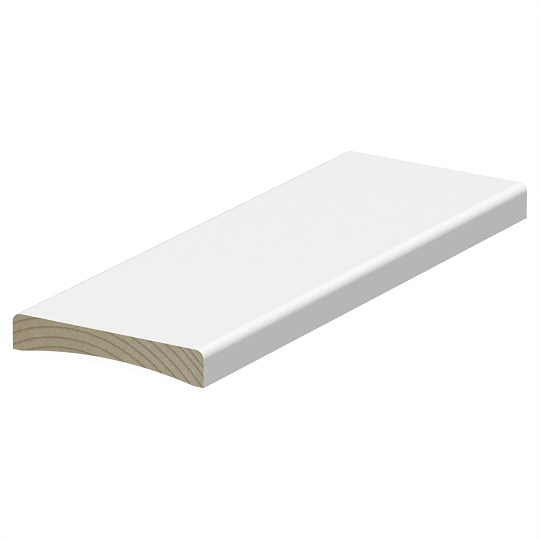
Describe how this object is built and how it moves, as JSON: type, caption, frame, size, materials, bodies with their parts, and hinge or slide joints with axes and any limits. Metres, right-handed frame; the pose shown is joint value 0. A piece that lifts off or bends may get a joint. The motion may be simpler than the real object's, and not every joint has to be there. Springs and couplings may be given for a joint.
{
  "type": "door casing",
  "caption": "Flat white-painted pine door casing with rounded front edges and a hollowed back that seats on narrow side feet, cut square to a short length.",
  "frame": {"origin": "midway along the length and across the width, in the plane of the two feet on the back, so the casing lies face up on z = 0", "axes": "+X across the width, +Y along the length and the grain, +Z out of the front face"},
  "size_m": [0.07, 0.2, 0.012],
  "materials": {
    "painted_pine": "satin white paint on the face and edges, bare pine on the sawn ends and the planed back"
  },
  "bodies": {
    "root": {"casing": "painted_pine"}
  },
  "joints": []
}
